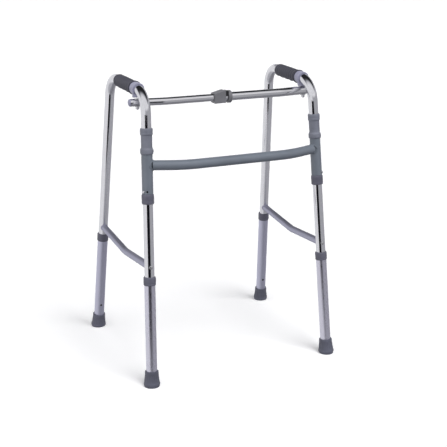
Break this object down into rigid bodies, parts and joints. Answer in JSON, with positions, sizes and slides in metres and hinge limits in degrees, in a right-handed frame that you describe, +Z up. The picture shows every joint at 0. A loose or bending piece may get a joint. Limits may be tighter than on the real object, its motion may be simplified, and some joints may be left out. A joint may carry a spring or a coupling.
{
  "type": "walking frame",
  "caption": "Folding walking frame with hinged side frames, ribbed handle grips, a painted front crossbar, a telescoping top bar with a latch, and adjustable legs.",
  "frame": {"origin": "on the floor, at the centre of the footprint of the four tips", "axes": "+X to the right seen from the front crossbar, +Y from the front crossbar towards the open rear, +Z up"},
  "size_m": [0.5826, 0.487, 0.7766],
  "materials": {
    "frame_paint": "satin blue-grey powder coat",
    "collar_grey": "moulded mid-grey plastic",
    "collar_dark": "moulded dark grey plastic",
    "polished_tube": "polished, bright anodised aluminium",
    "satin_tube": "satin anodised aluminium, slightly lavender",
    "grip_foam": "soft ribbed foam rubber",
    "bracket_plastic": "light lavender-grey moulded nylon",
    "fastener_steel": "zinc-plated steel",
    "button_steel": "bright plated steel",
    "tip_rubber": "dark grey rubber, matt",
    "latch_plastic": "moulded grey plastic",
    "black_plastic": "black plastic"
  },
  "bodies": {
    "root": {"crossbar": "frame_paint", "sleeve_left": "frame_paint", "sleeve_right": "frame_paint", "upper_collar_left": "collar_grey", "upper_collar_right": "collar_grey"},
    "swing_button_left": {"swing_button_left": "button_steel"},
    "swing_button_right": {"swing_button_right": "button_steel"},
    "latch_button": {"latch_button": "black_plastic"},
    "bar_outer": {"bar_outer_tube": "polished_tube", "bar_plug_right": "bracket_plastic", "latch_housing": "latch_plastic", "latch_rails": "black_plastic", "latch_ring": "latch_plastic"},
    "bar_inner": {"bar_inner_tube": "polished_tube", "bar_plug_left": "bracket_plastic", "bar_rivet_left": "fastener_steel", "bar_guide_bush": "collar_dark"},
    "side_left": {"side_tube_left": "polished_tube", "grip_left": "grip_foam", "bar_bracket_left": "bracket_plastic", "brace_left": "satin_tube", "brace_bolts_left": "fastener_steel", "bar_pin_left": "fastener_steel", "lower_collar_left": "collar_dark"},
    "leg_front_left": {"leg_tube_front_left": "polished_tube", "leg_collar_front_left": "collar_dark", "tip_front_left": "tip_rubber"},
    "snap_button_front_left": {"snap_button_front_left": "button_steel"},
    "leg_rear_left": {"leg_tube_rear_left": "satin_tube", "leg_collar_rear_left": "collar_dark", "tip_rear_left": "tip_rubber", "stop_rivet_left": "black_plastic"},
    "snap_button_rear_left": {"snap_button_rear_left": "button_steel"},
    "side_right": {"side_tube_right": "polished_tube", "grip_right": "grip_foam", "bar_bracket_right": "bracket_plastic", "brace_right": "satin_tube", "brace_bolts_right": "fastener_steel", "bar_pin_right": "fastener_steel", "lower_collar_right": "collar_dark"},
    "leg_front_right": {"leg_tube_front_right": "polished_tube", "leg_collar_front_right": "collar_dark", "tip_front_right": "tip_rubber"},
    "snap_button_front_right": {"snap_button_front_right": "button_steel"},
    "leg_rear_right": {"leg_tube_rear_right": "satin_tube", "leg_collar_rear_right": "collar_dark", "tip_rear_right": "tip_rubber", "stop_rivet_right": "black_plastic"},
    "snap_button_rear_right": {"snap_button_rear_right": "button_steel"}
  },
  "joints": [
    {"name": "fold_left", "type": "hinge", "parent": "root", "child": "side_left", "pos_m": [-0.26003, -0.22254, 0], "axis": [-0.0355, -0.0987, -0.9945], "range_deg": [0, 75]},
    {"name": "fold_right", "type": "hinge", "parent": "root", "child": "side_right", "pos_m": [0.26003, -0.22254, 0], "axis": [-0.0355, 0.0987, 0.9945], "range_deg": [0, 33.75]},
    {"name": "bar_swivel", "type": "hinge", "parent": "side_right", "child": "bar_outer", "pos_m": [0.236, -0.092, 0.723], "axis": [0.0355, -0.0987, -0.9945], "range_deg": [0, 28.86]},
    {"name": "bar_telescope", "type": "slide", "parent": "bar_outer", "child": "bar_inner", "axis": [1, 0, 0], "range_m": [0, 0.0894]},
    {"name": "latch_press", "type": "slide", "parent": "bar_outer", "child": "latch_button", "axis": [0, 0, -1], "range_m": [0, 0.0012], "stiffness_N_per_m": 600},
    {"name": "swing_press_left", "type": "slide", "parent": "root", "child": "swing_button_left", "axis": [0.8881, 0.4583, -0.034], "range_m": [0, 0.003], "stiffness_N_per_m": 500},
    {"name": "swing_press_right", "type": "slide", "parent": "root", "child": "swing_button_right", "axis": [-0.8881, 0.4583, -0.034], "range_m": [0, 0.003], "stiffness_N_per_m": 500},
    {"name": "height_front_left", "type": "slide", "parent": "side_left", "child": "leg_front_left", "axis": [-0.0355, -0.0987, -0.9945], "range_m": [0, 0.15]},
    {"name": "snap_press_front_left", "type": "slide", "parent": "side_left", "child": "snap_button_front_left", "axis": [0.0259, -0.9949, 0.0979], "range_m": [0, 0.004], "stiffness_N_per_m": 500},
    {"name": "height_front_right", "type": "slide", "parent": "side_right", "child": "leg_front_right", "axis": [0.0355, -0.0987, -0.9945], "range_m": [0, 0.15]},
    {"name": "snap_press_front_right", "type": "slide", "parent": "side_right", "child": "snap_button_front_right", "axis": [-0.0259, -0.9949, 0.0979], "range_m": [0, 0.004], "stiffness_N_per_m": 500},
    {"name": "height_rear_left", "type": "slide", "parent": "side_left", "child": "leg_rear_left", "axis": [-0.0406, 0.1378, -0.9896], "range_m": [0, 0.15]},
    {"name": "snap_press_rear_left", "type": "slide", "parent": "side_left", "child": "snap_button_rear_left", "axis": [0.0169, -0.9902, -0.1386], "range_m": [0, 0.004], "stiffness_N_per_m": 500},
    {"name": "height_rear_right", "type": "slide", "parent": "side_right", "child": "leg_rear_right", "axis": [0.0406, 0.1378, -0.9896], "range_m": [0, 0.15]},
    {"name": "snap_press_rear_right", "type": "slide", "parent": "side_right", "child": "snap_button_rear_right", "axis": [-0.0169, -0.9902, -0.1386], "range_m": [0, 0.004], "stiffness_N_per_m": 500}
  ],
  "couplings": [
    {"joint": "fold_right", "follows": "fold_left", "ratio": 0.45},
    {"joint": "bar_swivel", "follows": "fold_left", "ratio": 0.3847},
    {"joint": "bar_telescope", "follows": "fold_left", "m_per_rad": 0.06822}
  ]
}
